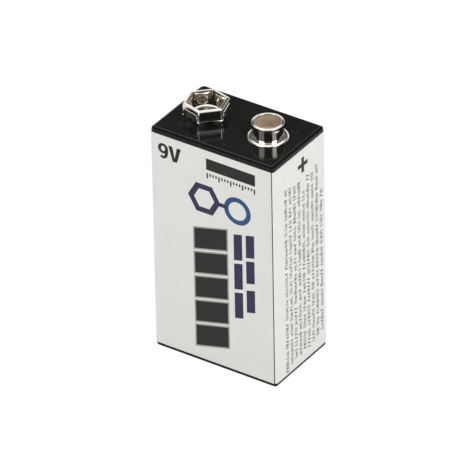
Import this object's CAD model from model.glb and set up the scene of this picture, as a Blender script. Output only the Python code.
import math
import random

import bmesh
import bpy
from mathutils import Matrix, Vector
from mathutils.geometry import delaunay_2d_cdt


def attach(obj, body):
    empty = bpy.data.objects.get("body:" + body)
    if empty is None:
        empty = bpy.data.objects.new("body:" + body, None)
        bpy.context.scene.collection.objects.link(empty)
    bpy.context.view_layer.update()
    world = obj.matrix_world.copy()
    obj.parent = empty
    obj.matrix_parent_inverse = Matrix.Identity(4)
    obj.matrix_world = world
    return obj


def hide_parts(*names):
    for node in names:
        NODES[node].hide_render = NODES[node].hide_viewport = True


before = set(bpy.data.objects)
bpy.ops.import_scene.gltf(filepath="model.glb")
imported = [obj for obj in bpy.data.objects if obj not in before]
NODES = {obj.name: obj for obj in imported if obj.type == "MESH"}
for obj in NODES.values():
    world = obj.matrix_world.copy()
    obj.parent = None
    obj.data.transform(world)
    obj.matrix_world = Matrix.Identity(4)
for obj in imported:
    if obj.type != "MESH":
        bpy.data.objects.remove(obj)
bpy.context.view_layer.update()
MM = 0.001


# sizes shared by several pieces, in millimetres

BODY_WIDTH = 25.6
BODY_DEPTH = 16.6
# near right, far right, far left and near left corner
BODY_CORNERS = (0.65, 1.0, 1.0, 1.0)
LABEL_SHEET = 0.12
PANEL = 45.05
TERMINAL_OFFSET = 6.35
TERMINAL_HEIGHT = 3.05
HOLE_RADIUS = 1.1


# camera, at the photograph's viewing angle: degrees, millimetres and pixels

CAMERA_AZIMUTH = 34.382
CAMERA_ELEVATION = 33.236
CAMERA_ROLL = -1.124
CAMERA_DISTANCE = 1215.2
CAMERA_TARGET_HEIGHT = 23.0
CAMERA_SHIFT_RIGHT = -1.607
CAMERA_SHIFT_UP = 0.524
FOCAL_PIXELS = 7015.1
PICTURE_PIXELS = 460
SENSOR = 36
CLIP_START = 0.05
CLIP_END = 20


def make_camera():
    azimuth, elevation, roll = [math.radians(v) for v in (CAMERA_AZIMUTH, CAMERA_ELEVATION, CAMERA_ROLL)]
    back = Vector((math.sin(azimuth) * math.cos(elevation),
                   -math.cos(azimuth) * math.cos(elevation),
                   math.sin(elevation)))
    right = Vector((math.cos(azimuth), math.sin(azimuth), 0))
    up = back.cross(right)
    right, up = (math.cos(roll) * right + math.sin(roll) * up,
                 math.cos(roll) * up - math.sin(roll) * right)
    target = Vector((0, 0, CAMERA_TARGET_HEIGHT)) + CAMERA_SHIFT_RIGHT * right + CAMERA_SHIFT_UP * up
    data = bpy.data.cameras.new("camera")
    data.sensor_width = SENSOR
    data.lens = FOCAL_PIXELS / PICTURE_PIXELS * SENSOR
    data.clip_start, data.clip_end = CLIP_START, CLIP_END
    camera = bpy.data.objects.new("camera", data)
    turn = Matrix((right, up, back)).transposed().to_4x4()
    camera.matrix_world = Matrix.Translation((target + back * CAMERA_DISTANCE) * MM) @ turn
    bpy.context.scene.collection.objects.link(camera)
    bpy.context.scene.camera = camera


# node helpers

class Nodes:
    """Short calls for building one node tree."""

    def __init__(self, tree):
        self.tree = tree
        tree.nodes.clear()

    def add(self, kind, inputs=None, **settings):
        node = self.tree.nodes.new(kind)
        for key, value in settings.items():
            setattr(node, key, value)
        for key, value in (inputs or {}).items():
            if isinstance(value, bpy.types.NodeSocket):
                self.tree.links.new(value, node.inputs[key])
            else:
                node.inputs[key].default_value = value
        return node

    def position(self):
        return self.add("ShaderNodeTexCoord").outputs["Object"]

    def stretched(self, scale):
        return self.add("ShaderNodeMapping", {"Vector": self.position(), "Scale": scale}).outputs["Vector"]

    def noise(self, scale, detail=3, vector=None, roughness=0.5):
        node = self.add("ShaderNodeTexNoise", {
            "Vector": vector or self.position(), "Scale": scale, "Detail": detail, "Roughness": roughness})
        return node.outputs["Fac"]

    def ramp(self, fac, stops):
        node = self.add("ShaderNodeValToRGB", {"Fac": fac})
        elements = node.color_ramp.elements
        while len(elements) < len(stops):
            elements.new(0.5)
        for element, (place, colour) in zip(elements, stops):
            element.position = place
            element.color = colour if len(colour) == 4 else (*colour, 1)
        return node.outputs["Color"]

    def range(self, value, low, high, to_low, to_high):
        node = self.add("ShaderNodeMapRange", {
            "Value": value, "From Min": low, "From Max": high, "To Min": to_low, "To Max": to_high})
        return node.outputs["Result"]

    def math(self, operation, first, second=0.0):
        return self.add("ShaderNodeMath", {0: first, 1: second}, operation=operation).outputs[0]

    def bump(self, height, strength, distance, under=None):
        inputs = {"Height": height, "Strength": strength, "Distance": distance}
        if under is not None:
            inputs["Normal"] = under
        return self.add("ShaderNodeBump", inputs).outputs["Normal"]

    def surface(self, shader):
        self.add("ShaderNodeOutputMaterial", {"Surface": shader})

    def principled(self, inputs):
        self.surface(self.add("ShaderNodeBsdfPrincipled", inputs).outputs["BSDF"])


def new_material(name):
    material = bpy.data.materials.new(name)
    material.use_nodes = True
    return material, Nodes(material.node_tree)


def shades(colour, low, high):
    """The colour darkened and lightened by two factors, as the stops of a ramp."""
    return [(0.3, tuple(c * low for c in colour)), (0.7, tuple(min(c * high, 1) for c in colour))]


# materials

PLASTIC_IOR = 1.46
PAPER_WHITE = (0.76, 0.765, 0.735)
CHARCOAL = (0.027, 0.027, 0.025)
KEYLINE_GREY = (0.33, 0.33, 0.32)
FINE_PRINT_GREY = (0.026, 0.026, 0.025)
INDIGO = (0.044, 0.037, 0.082)
STEEL_BLUE = (0.034, 0.088, 0.21)
BLACK_LOW = (0.0045, 0.0044, 0.0042)
BLACK_HIGH = (0.0085, 0.0083, 0.0079)
DUST_GREY = (0.12, 0.118, 0.11, 1)
NICKEL = (0.74, 0.715, 0.67)
WARM_NICKEL = (0.78, 0.71, 0.61)
SHADED_NICKEL = (0.16, 0.15, 0.135)
BORE_LOW = (0.44, 0.345, 0.245)
BORE_HIGH = (0.6, 0.485, 0.36)
RIVET_METAL = (0.34, 0.3, 0.235)
TARNISHED_METAL = (0.13, 0.105, 0.09)
TINNED_GREY = (0.65, 0.65, 0.63)
CAN_GREY = (0.7, 0.71, 0.72)
FUSE_GREY = (0.12, 0.12, 0.13)
CARD_TAN = (0.62, 0.56, 0.44)
FOAM_LOW = (0.12, 0.12, 0.125)
FOAM_HIGH = (0.28, 0.28, 0.29)
INK_ROUGHNESS = 0.34
INK_SHINE = 0.12
CASE_SHINE = 0.17
COVER_SHINE = 0.38
# stretch of the marks left by the dies: turned pieces, folded pieces and rivets
TURNED_LINES = (6, 6, 0.35)
FOLDED_LINES = (3, 3, 0.6)
EVEN_LINES = (1, 1, 1)


def film(name, colour, roughness=0.3, spread=0.02, shine=0.3):
    """Printed plastic film: faint mottling, a fine skin and shallow ripples."""
    material, n = new_material(name)
    mottled = n.ramp(n.noise(260, 4), shades(colour, 1 - spread, 1 + spread))
    gloss = n.range(n.noise(900, 3), 0.3, 0.7, roughness - 0.05, roughness + 0.07)
    skin = n.bump(n.noise(9000, 2), 0.06, 0.00002)
    ripple = n.bump(n.noise(160, 2, n.stretched((1, 1, 0.25))), 0.15, 0.0004, skin)
    n.principled({"Base Color": mottled, "Roughness": gloss, "Normal": ripple,
                  "IOR": PLASTIC_IOR, "Specular IOR Level": shine})
    return material


# scuffs and lint on the top: middle, length, width in millimetres and turn in degrees
PANEL_MARKS = [
    (-8.4, -4.95, 0.85, 0.16, 24), (9.0, 3.6, 1.0, 0.1, 48), (9.5, 3.0, 0.9, 0.1, 20),
    (10.0, 3.5, 0.5, 0.14, 75), (-3.3, 1.3, 0.3, 0.24, 0), (1.2, -6.2, 1.4, 0.06, -12),
    (0.4, 5.4, 1.1, 0.06, 35), (-10.9, 3.2, 0.5, 0.12, 60),
]


def black_plastic(name, shine):
    """Glossy moulded plastic with soft flow marks, hairline scratches, scuffs and a little dust."""
    material, n = new_material(name)
    flow = n.noise(130, 4)
    dust_cells = n.add("ShaderNodeTexVoronoi", {"Vector": n.position(), "Scale": 900.0}, feature="F1")
    patches = n.range(n.noise(300, 2), 0.5, 0.72, 0.0, 1.0)
    specks = n.range(dust_cells.outputs["Distance"], 0.02, 0.05, 1.0, 0.0)
    marks = n.math("MULTIPLY", specks, patches)
    broken = n.range(n.noise(2600, 3), 0.4, 0.6, 0.2, 1.0)
    for x, y, length, width, turn in PANEL_MARKS:
        place = n.add("ShaderNodeMapping", {
            "Vector": n.position(), "Location": (x * MM, y * MM, PANEL * MM),
            "Rotation": (0, 0, math.radians(turn)), "Scale": (length * MM / 2, width * MM / 2, MM / 2)},
            vector_type="TEXTURE").outputs["Vector"]
        away = n.add("ShaderNodeVectorMath", {0: place}, operation="LENGTH").outputs["Value"]
        marks = n.math("MAXIMUM", marks, n.math("MULTIPLY", broken, n.range(away, 0.5, 1.0, 1.0, 0.0)))
    plastic = n.ramp(flow, [(0.3, BLACK_LOW), (0.7, BLACK_HIGH)])
    colour = n.add("ShaderNodeMix", {"Factor": marks, "A": plastic, "B": DUST_GREY}, data_type="RGBA")
    hairs = n.noise(70, 6, n.stretched((1, 22, 1)), 0.7)
    gloss = n.range(hairs, 0.35, 0.75, 0.05, 0.17)
    skin = n.bump(n.noise(2600, 2), 0.05, 0.00002)
    scratch = n.bump(hairs, 0.05, 0.00004, skin)
    n.principled({"Base Color": colour.outputs["Result"], "Roughness": gloss, "Normal": scratch,
                  "IOR": PLASTIC_IOR, "Specular IOR Level": shine})
    return material


def nickel(name, colour, smooth, rough, draw_lines):
    """Bright plate: slight tarnish clouds, wiped patches and the marks left by the dies."""
    material, n = new_material(name)
    tarnish = n.ramp(n.noise(520, 4), shades(colour, 0.9, 1.05))
    gloss = n.range(n.noise(1400, 4), 0.35, 0.7, smooth, rough)
    skin = n.bump(n.noise(3500, 3), 0.05, 0.00002)
    lines = n.bump(n.noise(1500, 3, n.stretched(draw_lines)), 0.08, 0.00002, skin)
    n.principled({"Base Color": tarnish, "Metallic": 1.0, "Roughness": gloss, "Normal": lines})
    return material


def dull_bore():
    """The unpolished inside of the drawn stud: warm, matt, with drawing rings."""
    material, n = new_material("nickel_bore")
    clouds = n.ramp(n.noise(700, 5), [(0.3, BORE_LOW), (0.7, BORE_HIGH)])
    rings = n.noise(900, 3, n.stretched((1, 1, 5)))
    gloss = n.range(rings, 0.3, 0.7, 0.5, 0.66)
    n.principled({"Base Color": clouds, "Metallic": 0.35, "Roughness": gloss,
                  "Normal": n.bump(rings, 0.25, 0.00005)})
    return material


def brushed(name, colour, roughness, stretch):
    """Rolled strip or drawn can: long fine brush lines."""
    material, n = new_material(name)
    lines = n.noise(700, 4, n.stretched(stretch))
    n.principled({"Base Color": n.ramp(lines, shades(colour, 0.88, 1.08)), "Metallic": 1.0,
                  "Roughness": n.range(lines, 0.3, 0.7, roughness, roughness + 0.15),
                  "Normal": n.bump(lines, 0.1, 0.00003)})
    return material


def grained(name, colour, roughness, scale, depth):
    """Matt moulded or pressed stuff with a fine grain."""
    material, n = new_material(name)
    grain = n.noise(scale, 5, roughness=0.65)
    n.principled({"Base Color": n.ramp(grain, shades(colour, 0.8, 1.15)), "Roughness": roughness,
                  "Normal": n.bump(grain, 0.4, depth)})
    return material


def foam_material():
    """Grey foam with open pores."""
    material, n = new_material("foam_cells")
    cells = n.add("ShaderNodeTexVoronoi", {"Vector": n.position(), "Scale": 2200.0}, feature="F1")
    pores = cells.outputs["Distance"]
    n.principled({"Base Color": n.ramp(pores, [(0.1, FOAM_LOW), (0.6, FOAM_HIGH)]),
                  "Roughness": 0.9, "Normal": n.bump(pores, 0.6, 0.0001)})
    return material


PLASTIC = {
    "case": black_plastic("black_plastic_case", CASE_SHINE),
    "top_cover": black_plastic("black_plastic_cover", COVER_SHINE),
}
LABEL_INKS = {
    "paper": film("film_white", PAPER_WHITE, 0.32, 0.012),
    "charcoal": film("ink_charcoal", CHARCOAL, INK_ROUGHNESS, 0.05, INK_SHINE),
    "keyline": film("ink_keyline", KEYLINE_GREY, INK_ROUGHNESS, 0.04, 0.2),
    "fine": film("ink_fine_print", FINE_PRINT_GREY, INK_ROUGHNESS, 0.04, INK_SHINE),
    "indigo": film("ink_indigo", INDIGO, INK_ROUGHNESS, 0.05, INK_SHINE),
    "steel": film("ink_steel_blue", STEEL_BLUE, INK_ROUGHNESS, 0.05, INK_SHINE),
}
STUD_MATERIALS = [nickel("nickel_stud", NICKEL, 0.05, 0.13, TURNED_LINES), dull_bore()]
CROWN_MATERIALS = [
    nickel("nickel_crown", NICKEL, 0.06, 0.16, FOLDED_LINES),
    nickel("nickel_leaf", WARM_NICKEL, 0.15, 0.27, FOLDED_LINES),
    nickel("nickel_leaf_back", SHADED_NICKEL, 0.4, 0.55, FOLDED_LINES),
]
BRIGHT, LEAF, SHADED = range(3)
NODE_MATERIALS = {
    "case": PLASTIC["case"],
    "top_cover": PLASTIC["top_cover"],
    "positive_rivet": nickel("rivet_plate", RIVET_METAL, 0.3, 0.45, EVEN_LINES),
    "negative_rivet": nickel("rivet_plate_tarnished", TARNISHED_METAL, 0.16, 0.28, EVEN_LINES),
    "positive_lug": brushed("tinned_strip_brushed", TINNED_GREY, 0.3, (1, 12, 12)),
    "ptc_fuse": grained("fuse_polymer_grain", FUSE_GREY, 0.7, 3000, 0.00003),
    "cell_1": brushed("cell_can_drawn", CAN_GREY, 0.25, (14, 14, 0.5)),
    "divider_1": grained("insulating_card_fibre", CARD_TAN, 0.85, 2500, 0.00004),
    "bottom_pad": foam_material(),
}
SAME_MATERIAL = {
    "positive_lug": ["negative_lug", "positive_lead", "negative_lead", "series_strap_1", "series_strap_2"],
    "cell_1": ["cell_2", "cell_3"],
    "divider_1": ["divider_2", "top_insulator"],
}


def dress_nodes():
    """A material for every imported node, also for those that a finer piece replaces."""
    for first, material in NODE_MATERIALS.items():
        for name in [first] + SAME_MATERIAL.get(first, []):
            mesh = NODES[name].data
            mesh.materials.clear()
            mesh.materials.append(material)


# mesh helpers, in millimetres

MERGE_DISTANCE = 1e-7
ROUND_SHARP = 35
BOXY_SHARP = 40


def make_piece(name, points, faces, materials, indices=None, sharp_angle=ROUND_SHARP):
    """An object with its faces turned outwards, smooth up to the sharp angle in degrees."""
    mesh = bpy.data.meshes.new(name)
    mesh.from_pydata([Vector(p) * MM for p in points], [], faces)
    for material in materials:
        mesh.materials.append(material)
    if indices:
        mesh.polygons.foreach_set("material_index", indices)
    mesh.validate()
    work = bmesh.new()
    work.from_mesh(mesh)
    bmesh.ops.remove_doubles(work, verts=work.verts, dist=MERGE_DISTANCE)
    bmesh.ops.recalc_face_normals(work, faces=work.faces)
    work.to_mesh(mesh)
    work.free()
    mesh.shade_smooth()
    mesh.set_sharp_from_angle(angle=math.radians(sharp_angle))
    piece = bpy.data.objects.new(name, mesh)
    bpy.context.scene.collection.objects.link(piece)
    return piece


def let_flats_lead(piece):
    """Shading that stays flat on the large faces and bends on the rounds between them."""
    weight = piece.modifiers.new("flat_faces_lead", "WEIGHTED_NORMAL")
    weight.keep_sharp = True


def arc(centre, radius, start, end, steps):
    """Points on an arc in the plane of a section, from start to end in degrees."""
    turns = [math.radians(start + (end - start) * step / steps) for step in range(steps + 1)]
    return [(centre[0] + radius * math.cos(turn), centre[1] + radius * math.sin(turn)) for turn in turns]


def turned(section, centre, level, around):
    """Rings of points for a section of radius and height pairs turned about an upright axis."""
    rings = []
    for radius, height in section:
        ring = []
        for step in range(around):
            turn = 2 * math.pi * step / around
            ring.append(Vector((centre[0] + radius * math.cos(turn),
                                centre[1] + radius * math.sin(turn), level + height)))
        rings.append(ring)
    return rings


def skin(rings, open_path=False, band_material=None):
    """Faces of a closed section carried round a path, with end caps where the path is open."""
    count = len(rings[0])
    points = [point for ring in rings for point in ring]
    faces, indices = [], []
    for band in range(len(rings)):
        following = (band + 1) % len(rings)
        for step in range(count - 1 if open_path else count):
            ahead = (step + 1) % count
            faces.append((band * count + step, band * count + ahead,
                          following * count + ahead, following * count + step))
            indices.append(band_material(band) if band_material else 0)
    if open_path:
        faces.append([band * count for band in range(len(rings))])
        faces.append([band * count + count - 1 for band in range(len(rings))])
        indices += [0, 0]
    return points, faces, indices


def joined(parts):
    """Points, faces and material indices of several skins as those of one mesh."""
    points, faces, indices = [], [], []
    for part_points, part_faces, part_indices in parts:
        faces += [[index + len(points) for index in face] for face in part_faces]
        points += part_points
        indices += part_indices
    return points, faces, indices


def rounded_path(corners, radii, arc_steps, side_steps=1):
    """Points round a polygon with a radius for each corner; a side's own points crowd to its ends."""
    arcs = []
    for index, (corner, radius) in enumerate(zip(corners, radii)):
        before = (corners[index - 1] - corner).normalized()
        after = (corners[(index + 1) % len(corners)] - corner).normalized()
        half = before.angle(after) / 2
        centre = corner + (before + after).normalized() * radius / math.sin(half)
        start = corner + before * radius / math.tan(half) - centre
        sweep = math.pi - 2 * half
        arcs.append([centre + Matrix.Rotation(sweep * step / arc_steps, 2) @ start
                     for step in range(arc_steps + 1)])
    path = []
    for index, bend in enumerate(arcs):
        path += bend
        target = arcs[(index + 1) % len(arcs)][0]
        for step in range(1, side_steps):
            share = (1 - math.cos(math.pi * step / side_steps)) / 2
            path.append(bend[-1].lerp(target, share))
    return path


# positive stud

STUD_SIDES = 192


def make_stud():
    """Flange that falls to its edge, tight foot, straight waist and a rim that falls outwards.

    The section is in radius and height above the panel, and starts under the flange.
    """
    outside = [(HOLE_RADIUS, 0.0), (2.7, 0.0), (3.5, 0.0), (3.585, 0.005), (3.6, 0.03)]
    outside += arc((3.085, -0.353), 0.66, 40, 80, 16)
    outside += [(3.17, 0.3), (3.14, 0.3), (2.9, 0.3)]
    outside += arc((2.78, 0.33), 0.03, -90, -180, 6)
    outside += [(2.75, 0.6), (2.75, 1.5), (2.75, 2.3), (2.75, 2.76), (2.765, 2.81)]
    outside += arc((2.79, 2.895), 0.065, -60, 76, 12)
    outside += [(2.7, 2.986), (2.55, 3.023)]
    outside += arc((2.43, 2.97), 0.08, 76, 180, 12)
    inside = [(2.34, 2.8), (2.33, 1.6), (2.33, 0.62)]
    inside += arc((2.03, 0.62), 0.3, 0, -90, 8)[1:]
    inside += [(HOLE_RADIUS, 0.3)]
    rings = turned(outside + inside, (TERMINAL_OFFSET, 0), PANEL, STUD_SIDES)
    points, faces, indices = skin(rings, band_material=lambda band: int(len(outside) <= band))
    piece = make_piece("positive_stud", points, faces, STUD_MATERIALS, indices)
    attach(piece, "root")
    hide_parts("positive_snap")


# negative crown

CROWN_TURN = math.radians(-45)
CROWN_APOTHEM = 3.62
CROWN_CORNER = 0.45
SMALLEST_FOLD = 0.12
SKIRT_GAP = 0.7
SHORT_SKIRT = 1.0
SKIRT_STEP = 0.22
SKIRT_BOW = 0.13
LEAST_SKIRT = 0.18
RIM_WIDTH = 0.58
SHEET = 0.28
ARC_STEPS = 10
SIDE_STEPS = 22


def crown_point(x, y, height):
    """A point of the crown, from its own frame into the part's."""
    return Vector((x * math.cos(CROWN_TURN) - y * math.sin(CROWN_TURN) - TERMINAL_OFFSET,
                   x * math.sin(CROWN_TURN) + y * math.cos(CROWN_TURN), PANEL + height))


def hexagon(apothem):
    """Corners that start where the strip's ends meet."""
    reach = apothem / math.cos(math.radians(30))
    turns = [math.radians(150 + 60 * k) for k in range(6)]
    return [Vector((reach * math.cos(t), reach * math.sin(t))) for t in turns]


def skirt_level(point):
    """Height of the skirt's lower edge under a point of the outline."""
    turn = math.degrees(math.atan2(point.y, point.x))
    side = round(turn / 60)
    across = point.length * math.sin(math.radians(turn - 60 * side))
    straight = (CROWN_APOTHEM - CROWN_CORNER) * math.tan(math.radians(30))
    inward = straight - abs(across)
    if side % 2:
        share = min(max(inward / SKIRT_STEP, 0), 1)
        rise = 3 * share ** 2 - 2 * share ** 3
        return SKIRT_GAP + (TERMINAL_HEIGHT - SHORT_SKIRT - SKIRT_GAP) * rise
    return SKIRT_GAP + SKIRT_BOW * max(1 - (across / straight) ** 2, 0)


def make_crown_shell():
    """Folded hexagonal rim and skirt, open in a slot where the strip's two ends meet.

    The section is in inset and height, measured from the skirt's lower edge where it says so.
    """
    top = TERMINAL_HEIGHT
    base = rounded_path(hexagon(CROWN_APOTHEM), [CROWN_CORNER] * 6, ARC_STEPS, SIDE_STEPS)
    low = [skirt_level(point) for point in base]
    section = [(0.1, 0.0, True), (-0.02, 0.0, True), (-0.06, 0.02, True), (-0.08, 0.055, True)]
    section += [(-0.07, 0.085, True), (-0.01, 0.14, True), (0.0, 0.17, True)]
    section += [(0.0, top - 0.9, False), (0.0, top - 0.6, False)]
    section += [(0.14 - x, top - 0.25 + z, False) for x, z in arc((0, 0), 0.14, 0, 68, 8)]
    section += [(RIM_WIDTH - 0.1 + x, top - 0.1 + z, False) for x, z in arc((0, 0), 0.1, 112, 0, 10)]
    section += [(RIM_WIDTH, top - 0.2, False), (RIM_WIDTH - 0.04, top - 0.26, False)]
    section += [(SHEET + 0.02, top - 0.3, False), (SHEET, top - 0.36, False)]
    section += [(SHEET, 0.06, True), (SHEET - 0.03, 0.0, True)]
    rings = []
    for inset, height, from_low in section:
        corner = max(CROWN_CORNER - inset, SMALLEST_FOLD)
        path = rounded_path(hexagon(CROWN_APOTHEM - inset), [corner] * 6, ARC_STEPS, SIDE_STEPS)
        ring = []
        for point, level in zip(path, low):
            z = level + height if from_low else max(height, level + LEAST_SKIRT)
            ring.append(crown_point(point.x, point.y, z))
        rings.append(ring[ARC_STEPS - 2:] + ring[:3])
    points, faces, indices = skin(rings, open_path=True)
    piece = make_piece("negative_crown_rim", points, faces, CROWN_MATERIALS, indices)
    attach(piece, "root")
    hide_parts("negative_snap")


LEAF_PIVOT = 5.45
LEAF_HALF_ANGLE = 35.5
LEAF_SHEET = 0.2
LEAF_FOOT = 0.3
LEAF_RISE = 2.2
LEAF_WAIST_RADIUS = 2.68
LEAF_BOW = 0.07
# share by which a leaf is narrower this far above and below its widest level
LEAF_TAPER = 0.08
LEAF_TAPER_REACH = 1.5
LEAF_WIDEST = 1.45
LEAF_ROWS = 12
LEAF_COLUMNS = 20
FOLD_ROWS = 3
FLOOR_SIDES = 96
EDGE_BEVEL = 0.05


def leaf_section():
    """Radius and height of a leaf's inner side, from its foot up and over into the rim."""
    rows = []
    for step in range(LEAF_ROWS + 1):
        height = LEAF_FOOT + LEAF_RISE * step / LEAF_ROWS
        from_waist = 2 * step / LEAF_ROWS - 1
        rows.append((LEAF_WAIST_RADIUS + LEAF_BOW * from_waist ** 2, height))
    rows += [(2.79, 2.6), (2.87, 2.68), (2.97, 2.73), (3.1, 2.75)]
    return rows


def make_crown_leaves():
    """Riveted floor disc and six bowed spring leaves."""
    rows = leaf_section()
    outer = []
    for index, (radius, height) in enumerate(rows):
        before, after = rows[max(index - 1, 0)], rows[min(index + 1, len(rows) - 1)]
        along = Vector((after[0] - before[0], after[1] - before[1])).normalized()
        outer.append((radius + along.y * LEAF_SHEET, height - along.x * LEAF_SHEET))
    section = rows + outer[::-1]
    parts = []
    for leaf in range(6):
        spin = Matrix.Rotation(math.radians(60 * leaf), 2)
        rings = []
        for radius, height in section:
            ring = []
            narrow = LEAF_HALF_ANGLE * (1 - LEAF_TAPER * ((height - LEAF_WIDEST) / LEAF_TAPER_REACH) ** 2)
            for column in range(LEAF_COLUMNS + 1):
                turn = math.radians(narrow * (2 * column / LEAF_COLUMNS - 1))
                reach = LEAF_PIVOT - radius
                flat = spin @ Vector((LEAF_PIVOT - reach * math.cos(turn), reach * math.sin(turn)))
                ring.append(crown_point(flat.x, flat.y, height))
            rings.append(ring)
        parts.append(skin(rings, open_path=True, band_material=(
            lambda band: LEAF if band < len(rows) - FOLD_ROWS else SHADED)))
    floor = [(HOLE_RADIUS, 0.0), (2.2, 0.0), (2.45, 0.06), (2.6, 0.17), (2.68, 0.32), (2.69, 0.45)]
    floor += [(2.63, 0.5), (2.56, 0.45), (2.45, 0.37), (2.3, 0.315), (2.1, 0.3), (HOLE_RADIUS, 0.3)]
    flat_from = len(floor) - 3
    parts.append(skin(turned(floor, (-TERMINAL_OFFSET, 0), PANEL, FLOOR_SIDES), band_material=(
        lambda band: BRIGHT if band < flat_from else SHADED)))
    points, faces, indices = joined(parts)
    piece = make_piece("negative_crown_leaves", points, faces, CROWN_MATERIALS, indices)
    edge = piece.modifiers.new("soft_edges", "BEVEL")
    edge.width, edge.segments = EDGE_BEVEL * MM, 2
    edge.limit_method, edge.angle_limit = "ANGLE", math.radians(50)
    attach(piece, "root")


# print on the label: every shape is (ink, closed outline) in the face's own millimetres

def ellipse(x, z, across, up, start=0, end=360, steps=40):
    """A whole ellipse, or its part from start to end in degrees."""
    turns = [math.radians(start + (end - start) * step / steps) for step in range(steps + 1)]
    points = [(x + across * math.cos(t), z + up * math.sin(t)) for t in turns]
    return points[:-1] if abs(end - start) == 360 else points


def slanted(x, z, width, height, slope):
    """A bar whose lower and upper ends rise to the right."""
    return [(x, z), (x + width, z + slope * width), (x + width, z + slope * width + height), (x, z + height)]


def grown(outline, by):
    """A convex outline pushed out on every side."""
    corners = [Vector(p) for p in outline]
    pushed = []
    for index, corner in enumerate(corners):
        before = (corner - corners[index - 1]).normalized()
        after = (corners[(index + 1) % len(corners)] - corner).normalized()
        first, second = Vector((before.y, -before.x)), Vector((after.y, -after.x))
        pushed.append(tuple(corner + (first + second) * by / (1 + first.dot(second))))
    return pushed


def bar(left, low, right, high):
    """An upright rectangle."""
    return [(left, low), (right, low), (right, high), (left, high)]


def ring_shape(ink, x, z, radius, stroke, sides):
    """A ring with any number of sides, as an inked disc with a paper one on it."""
    outer = ellipse(x, z, radius, radius, steps=sides)
    inner = ellipse(x, z, radius - stroke, radius - stroke, steps=sides)
    return [(ink, outer), ("paper", inner)]


def nine(x, z, width, height):
    """The figure nine, as a bowl with a hole and a curved tail."""
    middle, bowl = x + width / 2, height * 0.335
    bowl_z = z + height - bowl
    tail = ellipse(middle, z + height / 2, width / 2, height / 2, 12, -128, 30)
    tail += ellipse(middle, z + height / 2, width / 2 - 0.64, height / 2 - 0.5, -128, 12, 30)
    return [
        ("charcoal", ellipse(middle, bowl_z, width / 2, bowl)),
        ("paper", ellipse(middle, bowl_z, width / 2 - 0.63, bowl - 0.5)),
        ("charcoal", tail),
    ]


def vee(x, z, width, height):
    """The letter V."""
    stroke, foot = 0.82, 0.45
    middle, top = x + width / 2, z + height
    return [("charcoal", [(x, top), (middle - foot, z), (middle + foot, z), (x + width, top),
                          (x + width - stroke, top), (middle, z + 0.75), (x + stroke, top)])]


# left side, foot, width and height of the two letters, and of the lowest block
NINE = (-10.9, 39.5, 2.1, 3.05)
VEE = (-8.75, 39.5, 2.6, 3.0)
BLOCK = (-3.7, 3.1, 6.7, 4.15)
BLOCKS = 5
BLOCK_STEP = 5.05
KEYLINE_WIDTH = 0.28
FRONT_SLOPE = 0.26
LEANING_BAR = [(-0.96, 40.26), (9.1, 40.2), (9.1, 42.5), (-0.96, 42.56)]
# middle, radius and stroke
HEXAGON = (-1.5, 34.1, 3.35, 1.25)
RING = (5.35, 33.9, 2.75, 0.95)
RING_SIDES = 72
LINK = (1.1, 33.6, 3.15, 34.4)
TICKS = 17
TICK_START = -0.9
TICK_STEP = 0.605
TICK_WIDTH = 0.3
TICK_LOW = 39.05
LONG_TICK = 0.5
TICK_TOP = 39.6
SEGMENT_WIDTH = 1.75
# left side of each column, and start and length of its segments
COLUMNS = [
    (4.45, [(11.6, 5.3), (17.6, 5.3), (23.6, 5.3)]),
    (6.95, [(13.6, 4.6), (19.6, 4.6), (24.9, 4.6)]),
]


def front_print():
    """Nine volt mark, bare bar over a scale, hexagon and ring, a stack of blocks and two columns."""
    shapes = nine(*NINE) + vee(*VEE) + [("charcoal", LEANING_BAR)]
    for tick in range(TICKS):
        left, low = TICK_START + TICK_STEP * tick, TICK_LOW - (LONG_TICK if tick % 4 == 0 else 0)
        shapes.append(("charcoal", bar(left, low, left + TICK_WIDTH, TICK_TOP)))
    shapes += ring_shape("indigo", *HEXAGON, 6) + ring_shape("steel", *RING, RING_SIDES)
    shapes.append(("indigo", bar(*LINK)))
    left, foot, width, height = BLOCK
    for step in range(BLOCKS):
        block = slanted(left, foot + BLOCK_STEP * step, width, height, FRONT_SLOPE)
        shapes += [("keyline", grown(block, KEYLINE_WIDTH)), ("charcoal", block)]
    for x, segments in COLUMNS:
        for start, length in segments:
            shapes.append(("indigo", slanted(x, start, SEGMENT_WIDTH, length, FRONT_SLOPE)))
    return shapes


PLUS = [
    (0.47, 39.45), (1.27, 39.45), (1.27, 40.62), (2.4, 40.62), (2.4, 41.4), (1.27, 41.4),
    (1.27, 42.55), (0.47, 42.55), (0.47, 41.4), (-0.65, 41.4), (-0.65, 40.62), (0.47, 40.62),
]
FINE_LINES = 9
FINE_FIRST = -4.6
FINE_STEP = 1.37
FINE_TOPS = (39.0, 39.0, 38.2, 38.2, 37.0, 38.4, 38.9, 38.8, 33.5)
FINE_BOTTOMS = (1.0, 2.2, 2.6, 2.4, 2.9, 2.5, 3.0, 3.4, 4.0)
FINE_SEED = 9
FINE_STROKE = 0.18
FINE_RISE = 0.42
FINE_MARK_GAP = 0.26
FINE_GROUP_GAP = 0.5
# strokes of each small mark: start along the row, share of the row's height from and to, and
# length along the row, or 0 for a stroke across it
FINE_GLYPHS = [
    [(0, 0, 1, 0)],
    [(0, 0, 1, 0), (0.26, 0, 0.25, 0)],
    [(0, 0, 1, 0), (0.3, 0, 1, 0), (0, 0.5, 0.5, 0.3)],
    [(0, 0, 0.7, 0), (0.3, 0, 0.7, 0)],
    [(0, 0, 0.3, 0), (0.15, 0.1, 0.9, 0), (0.3, 0.6, 1, 0)],
    [(0.14, 0, 1, 0), (0, 0.9, 1, 0)],
    [(0, 0, 0.7, 0), (0.28, 0, 0.7, 0), (0.56, 0, 0.7, 0)],
]


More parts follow.
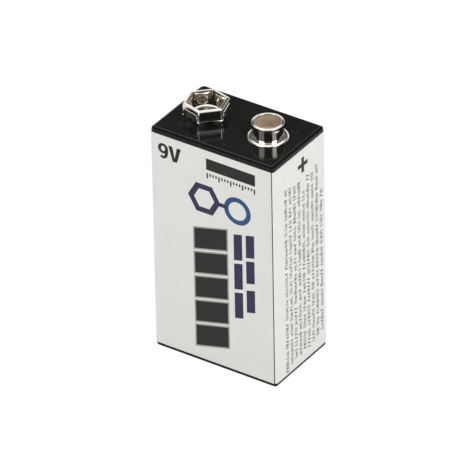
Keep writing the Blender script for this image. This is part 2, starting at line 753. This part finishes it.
def fine_mark(glyph, middle, place):
    """The strokes of one small mark in a row that reads upwards."""
    strokes = []
    for start, low, high, length in glyph:
        left = middle + FINE_RISE - 2 * FINE_RISE * high
        right = middle + FINE_RISE - 2 * FINE_RISE * low
        if length:
            left, right = left - FINE_STROKE / 2, left + FINE_STROKE / 2
        strokes.append(("fine", bar(left, place + start, right, place + start + (length or FINE_STROKE))))
    return strokes


def right_print():
    """Plus sign and nine upright rows of small made-up marks, as dense as fine print is."""
    shapes = [("charcoal", PLUS)]
    draw = random.Random(FINE_SEED)
    for line in range(FINE_LINES):
        middle = FINE_FIRST + FINE_STEP * line
        place, end = FINE_BOTTOMS[line], FINE_TOPS[line]
        while place < end - 1:
            for _ in range(draw.randint(3, 9)):
                glyph = draw.choice(FINE_GLYPHS)
                width = max(start + (length or FINE_STROKE) for start, _, _, length in glyph)
                if place + width > end:
                    break
                shapes += fine_mark(glyph, middle, place)
                place += width + FINE_MARK_GAP
            place += FINE_GROUP_GAP
    return shapes


# label

LABEL_BOTTOM = 0.66
LABEL_TOP = 44.05
SEAM_TURN = -64
SEAM_GAP = 0.19
CORNER_STEPS = 14
CUT_TOLERANCE = 1e-5


def inside(point, outline):
    """Whether a point is inside a closed outline."""
    x, z = point
    hit = False
    for index, (x2, z2) in enumerate(outline):
        x1, z1 = outline[index - 1]
        if (z1 > z) != (z2 > z) and x < (x2 - x1) * (z - z1) / (z2 - z1) + x1:
            hit = not hit
    return hit


def printed_face(low, high, shapes):
    """Triangles of a flat face cut along every printed outline, each with its ink."""
    border = [(low, LABEL_BOTTOM), (high, LABEL_BOTTOM), (high, LABEL_TOP), (low, LABEL_TOP)]
    points, edges = [], []
    for _, outline in [("paper", border)] + shapes:
        first = len(points)
        points += [Vector(p) for p in outline]
        edges += [(first + k, first + (k + 1) % len(outline)) for k in range(len(outline))]
    boxes = [(ink, outline, min(p[0] for p in outline), max(p[0] for p in outline),
              min(p[1] for p in outline), max(p[1] for p in outline)) for ink, outline in shapes]
    corners, _, triangles, *_ = delaunay_2d_cdt(points, edges, [], 0, CUT_TOLERANCE)
    inks = []
    for triangle in triangles:
        x = sum(corners[k].x for k in triangle) / 3
        z = sum(corners[k].y for k in triangle) / 3
        ink = "paper"
        for name, outline, x0, x1, z0, z1 in boxes:
            if x0 < x < x1 and z0 < z < z1 and inside((x, z), outline):
                ink = name
        inks.append(ink)
    return corners, triangles, inks


def label_path(inset):
    """Points along the sleeve from one side of the seam round to the other."""
    centres = [(1, -1), (1, 1), (-1, 1), (-1, -1)]
    half_gap = math.degrees(SEAM_GAP / 2 / BODY_CORNERS[0])
    spans = [(SEAM_TURN + half_gap, 0), (0, 90), (90, 180), (180, 270), (-90, SEAM_TURN - half_gap)]
    path = []
    for index, (start, end) in enumerate(spans):
        side_x, side_y = centres[index % 4]
        radius = BODY_CORNERS[index % 4]
        centre = (side_x * (BODY_WIDTH / 2 - radius), side_y * (BODY_DEPTH / 2 - radius))
        path += arc(centre, radius - inset, start, end, CORNER_STEPS)
    return path


def make_label():
    """One sleeve, its front and right faces cut along the print."""
    outer, inner = label_path(0), label_path(LABEL_SHEET)
    count = len(outer)
    points = [(x, y, z) for z in (LABEL_BOTTOM, LABEL_TOP) for path in (outer, inner) for x, y in path]
    inks = list(LABEL_INKS)
    faces, indices = [], []
    right_flat, front_flat = CORNER_STEPS, 4 * CORNER_STEPS + 3
    for k in range(count - 1):
        if k not in (right_flat, front_flat):
            faces.append((k, k + 1, 2 * count + k + 1, 2 * count + k))
        faces.append((count + k, count + k + 1, 3 * count + k + 1, 3 * count + k))
        faces.append((k, k + 1, count + k + 1, count + k))
        faces.append((2 * count + k, 2 * count + k + 1, 3 * count + k + 1, 3 * count + k))
    for k in (0, count - 1):
        faces.append((k, count + k, 3 * count + k, 2 * count + k))
    indices = [0] * len(faces)
    half_width, half_depth = BODY_WIDTH / 2, BODY_DEPTH / 2
    near, far, _, left = BODY_CORNERS
    flats = [
        (-half_width + left, half_width - near, front_print(), lambda a, z: (a, -half_depth, z)),
        (-half_depth + near, half_depth - far, right_print(), lambda a, z: (half_width, a, z)),
    ]
    for low, high, shapes, place in flats:
        corners, triangles, colours = printed_face(low, high, shapes)
        faces += [[k + len(points) for k in triangle] for triangle in triangles]
        points += [place(corner.x, corner.y) for corner in corners]
        indices += [inks.index(colour) for colour in colours]
    piece = make_piece("printed_label", points, faces, list(LABEL_INKS.values()), indices, BOXY_SHARP)
    let_flats_lead(piece)
    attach(piece, "root")
    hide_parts("label")


# case and cover

CASE_TOP = 44.72
CASE_FLOOR = 1.0
LEDGE = 43.45
LIP_ROUND = 0.15
FOOT_ROUND = 0.07
LIP_INSIDE = 0.52
LIP_INNER_ROUND = 0.08
SMALLEST_CORNER = 0.3
CAVITY_INSET = 0.92
COVER_INSET = 0.55
COVER_ROUND = 0.2


def upright_piece(name, section, node):
    """A section of inset and height carried round the body, with a flat cap at each end of it."""
    rings = []
    for inset, height in section:
        half_x, half_y = BODY_WIDTH / 2 - inset, BODY_DEPTH / 2 - inset
        corners = [Vector((half_x, -half_y)), Vector((half_x, half_y)), Vector((-half_x, half_y)),
                   Vector((-half_x, -half_y))]
        radii = [max(radius - inset, SMALLEST_CORNER) for radius in BODY_CORNERS]
        path = rounded_path(corners, radii, ARC_STEPS)
        rings.append([Vector((point.x, point.y, height)) for point in path])
    count = len(rings[0])
    points, faces, _ = skin(rings)
    faces = faces[:-count] + [list(range(count)), list(range(len(points) - count, len(points)))]
    piece = make_piece(name, points, faces, [PLASTIC[node]], None, BOXY_SHARP)
    let_flats_lead(piece)
    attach(piece, "root")
    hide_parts(node)


def make_case():
    """Black box with a rounded lip, a ledge for the cover and a hollow for the cells."""
    outer = LABEL_SHEET
    section = arc((outer + FOOT_ROUND, FOOT_ROUND), FOOT_ROUND, -90, -180, 5)
    section += arc((outer + LIP_ROUND, CASE_TOP - LIP_ROUND), LIP_ROUND, 180, 90, 8)
    section += arc((LIP_INSIDE - LIP_INNER_ROUND, CASE_TOP - LIP_INNER_ROUND), LIP_INNER_ROUND, 90, 0, 5)
    section += [(LIP_INSIDE, LEDGE), (CAVITY_INSET, LEDGE), (CAVITY_INSET, CASE_FLOOR)]
    upright_piece("case_shell", section, "case")


def make_cover():
    """Black plate in the mouth, its upper edge rounded."""
    section = [(COVER_INSET, LEDGE)]
    section += arc((COVER_INSET + COVER_ROUND, PANEL - COVER_ROUND), COVER_ROUND, 180, 90, 8)
    upright_piece("cover_plate", section, "top_cover")


# studio

FLOOR_REACH = 3.0
FLOOR_WHITE = 0.66
FLOOR_CLOUD = 0.01
# share and strength of the plain white that the camera and mirrors see on the floor
FLOOR_GLOW = 0.85
FLOOR_GLOW_STRENGTH = 1.12
# level direction from the part to the camera
FRONT_WALL = (0.565, -0.825, 0.0)
BACK_WALL_LIGHT = 0.13
FRONT_WALL_LIGHT = 0.03
HORIZON_LIGHT = 1.2
CEILING_LIGHT = 1.32
SOFT_BOX_DISTANCE = 1.2
# direction and apparent size in degrees, and radiance
SOFT_BOXES = {
    "left_box": {"azimuth": -105, "elevation": 36, "width": 32, "height": 38, "radiance": 2.8},
    "right_box": {"azimuth": -10, "elevation": 34, "width": 25, "height": 30, "radiance": 6.2},
}


def make_floor():
    """Pale matt disc that takes the shadow and shows white to the camera and in mirrors."""
    mesh = bpy.data.meshes.new("floor")
    corners = [(FLOOR_REACH * math.cos(math.radians(turn)), FLOOR_REACH * math.sin(math.radians(turn)), 0)
               for turn in range(0, 360, 6)]
    mesh.from_pydata(corners, [], [range(len(corners))])
    floor = bpy.data.objects.new("floor", mesh)
    bpy.context.scene.collection.objects.link(floor)
    material, n = new_material("floor_white")
    paint = n.ramp(n.noise(3, 2), [(0.3, (FLOOR_WHITE,) * 3), (0.7, (FLOOR_WHITE + FLOOR_CLOUD,) * 3)])
    matt = n.add("ShaderNodeBsdfDiffuse", {"Color": paint}).outputs["BSDF"]
    glow = n.add("ShaderNodeEmission", {
        "Color": (1, 1, 1, 1), "Strength": FLOOR_GLOW_STRENGTH}).outputs["Emission"]
    rays = n.add("ShaderNodeLightPath").outputs
    seen = n.math("MAXIMUM", n.math("MAXIMUM", rays["Is Camera Ray"], rays["Is Glossy Ray"]),
                  rays["Is Transmission Ray"])
    share = n.math("MULTIPLY", seen, FLOOR_GLOW)
    n.surface(n.add("ShaderNodeMixShader", {0: share, 1: matt, 2: glow}).outputs["Shader"])
    mesh.materials.append(material)


def make_world():
    """Bright ceiling, a pale horizon behind the part and dim walls, dimmest in front of it."""
    world = bpy.data.worlds.new("studio")
    world.use_nodes = True
    bpy.context.scene.world = world
    n = Nodes(world.node_tree)
    direction = n.add("ShaderNodeTexCoord").outputs["Generated"]
    height = n.add("ShaderNodeSeparateXYZ", {"Vector": direction}).outputs["Z"]
    toward = n.add("ShaderNodeVectorMath", {0: direction, 1: FRONT_WALL},
                   operation="DOT_PRODUCT").outputs["Value"]
    wall = n.range(toward, -0.6, 0.3, BACK_WALL_LIGHT, FRONT_WALL_LIGHT)
    horizon = n.math("MULTIPLY", n.range(height, 0.3, 0.46, HORIZON_LIGHT, 0.0),
                     n.range(toward, -0.2, 0.2, 1.0, 0.05))
    ceiling = n.range(height, 0.58, 0.74, 0.0, CEILING_LIGHT)
    tint = n.ramp(height, [(0.0, (1.0, 1.0, 1.0)), (1.0, (1.0, 0.995, 0.985))])
    shade = n.math("MAXIMUM", n.math("MAXIMUM", wall, horizon), ceiling)
    back = n.add("ShaderNodeBackground", {"Color": tint, "Strength": shade}).outputs["Background"]
    n.add("ShaderNodeOutputWorld", {"Surface": back})


def make_boxes():
    """Two soft boxes, placed by direction and as wide as they look from the part."""
    for name, box in SOFT_BOXES.items():
        azimuth, elevation = math.radians(box["azimuth"]), math.radians(box["elevation"])
        toward = Vector((math.cos(azimuth) * math.cos(elevation),
                         math.sin(azimuth) * math.cos(elevation), math.sin(elevation)))
        lamp = bpy.data.lights.new(name, "AREA")
        lamp.shape = "RECTANGLE"
        lamp.size = 2 * SOFT_BOX_DISTANCE * math.tan(math.radians(box["width"] / 2))
        lamp.size_y = 2 * SOFT_BOX_DISTANCE * math.tan(math.radians(box["height"] / 2))
        lamp.energy = box["radiance"] * math.pi * lamp.size * lamp.size_y
        light = bpy.data.objects.new(name, lamp)
        facing = toward.to_track_quat("Z", "Y").to_matrix().to_4x4()
        light.matrix_world = Matrix.Translation(toward * SOFT_BOX_DISTANCE) @ facing
        bpy.context.scene.collection.objects.link(light)


make_camera()
dress_nodes()
make_case()
make_cover()
make_label()
make_stud()
make_crown_shell()
make_crown_leaves()
make_floor()
make_world()
make_boxes()
bpy.context.scene.view_settings.view_transform = "Standard"
bpy.context.view_layer.update()
